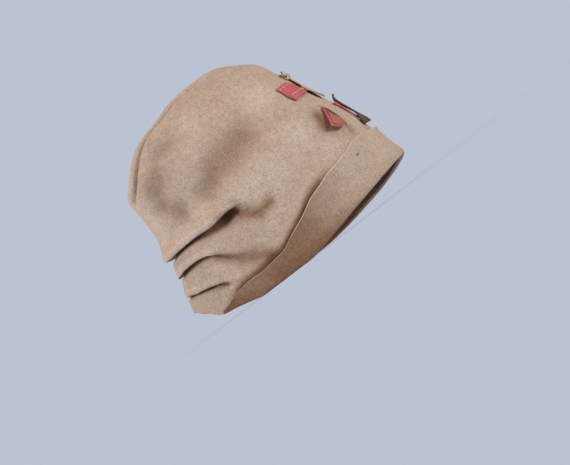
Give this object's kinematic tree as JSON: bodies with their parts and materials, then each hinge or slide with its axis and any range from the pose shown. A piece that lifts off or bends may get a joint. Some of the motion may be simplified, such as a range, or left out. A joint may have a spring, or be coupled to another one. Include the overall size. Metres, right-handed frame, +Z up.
{
  "type": "cloche hat",
  "caption": "Deep bell-shaped wool felt hat with a turned-up brim, tucks across the nape and small stitched felt tabs at the front",
  "frame": {"origin": "Centre of the bounding box in X and Y, on the plane that the hat rests on", "axes": "+X towards the front of the hat, +Y towards the wearer's left, +Z up with the rim resting on the floor"},
  "size_m": [0.2386, 0.181, 0.1904],
  "materials": {
    "body_felt": "brushed wool felt, matt",
    "rose_felt": "wool felt, matt",
    "beige_felt": "wool felt, matt",
    "brown_felt": "wool felt, matt",
    "gold_thread": "metallic thread"
  },
  "bodies": {
    "root": {"crown": "body_felt", "turned_up_brim": "body_felt", "rose_tab_upper": "rose_felt", "beige_tab_upper": "beige_felt", "gold_knot": "gold_thread", "rose_tab_lower": "rose_felt", "brown_tab_lower": "brown_felt", "rose_strip_front": "rose_felt", "brown_strip_front": "brown_felt"}
  },
  "joints": []
}
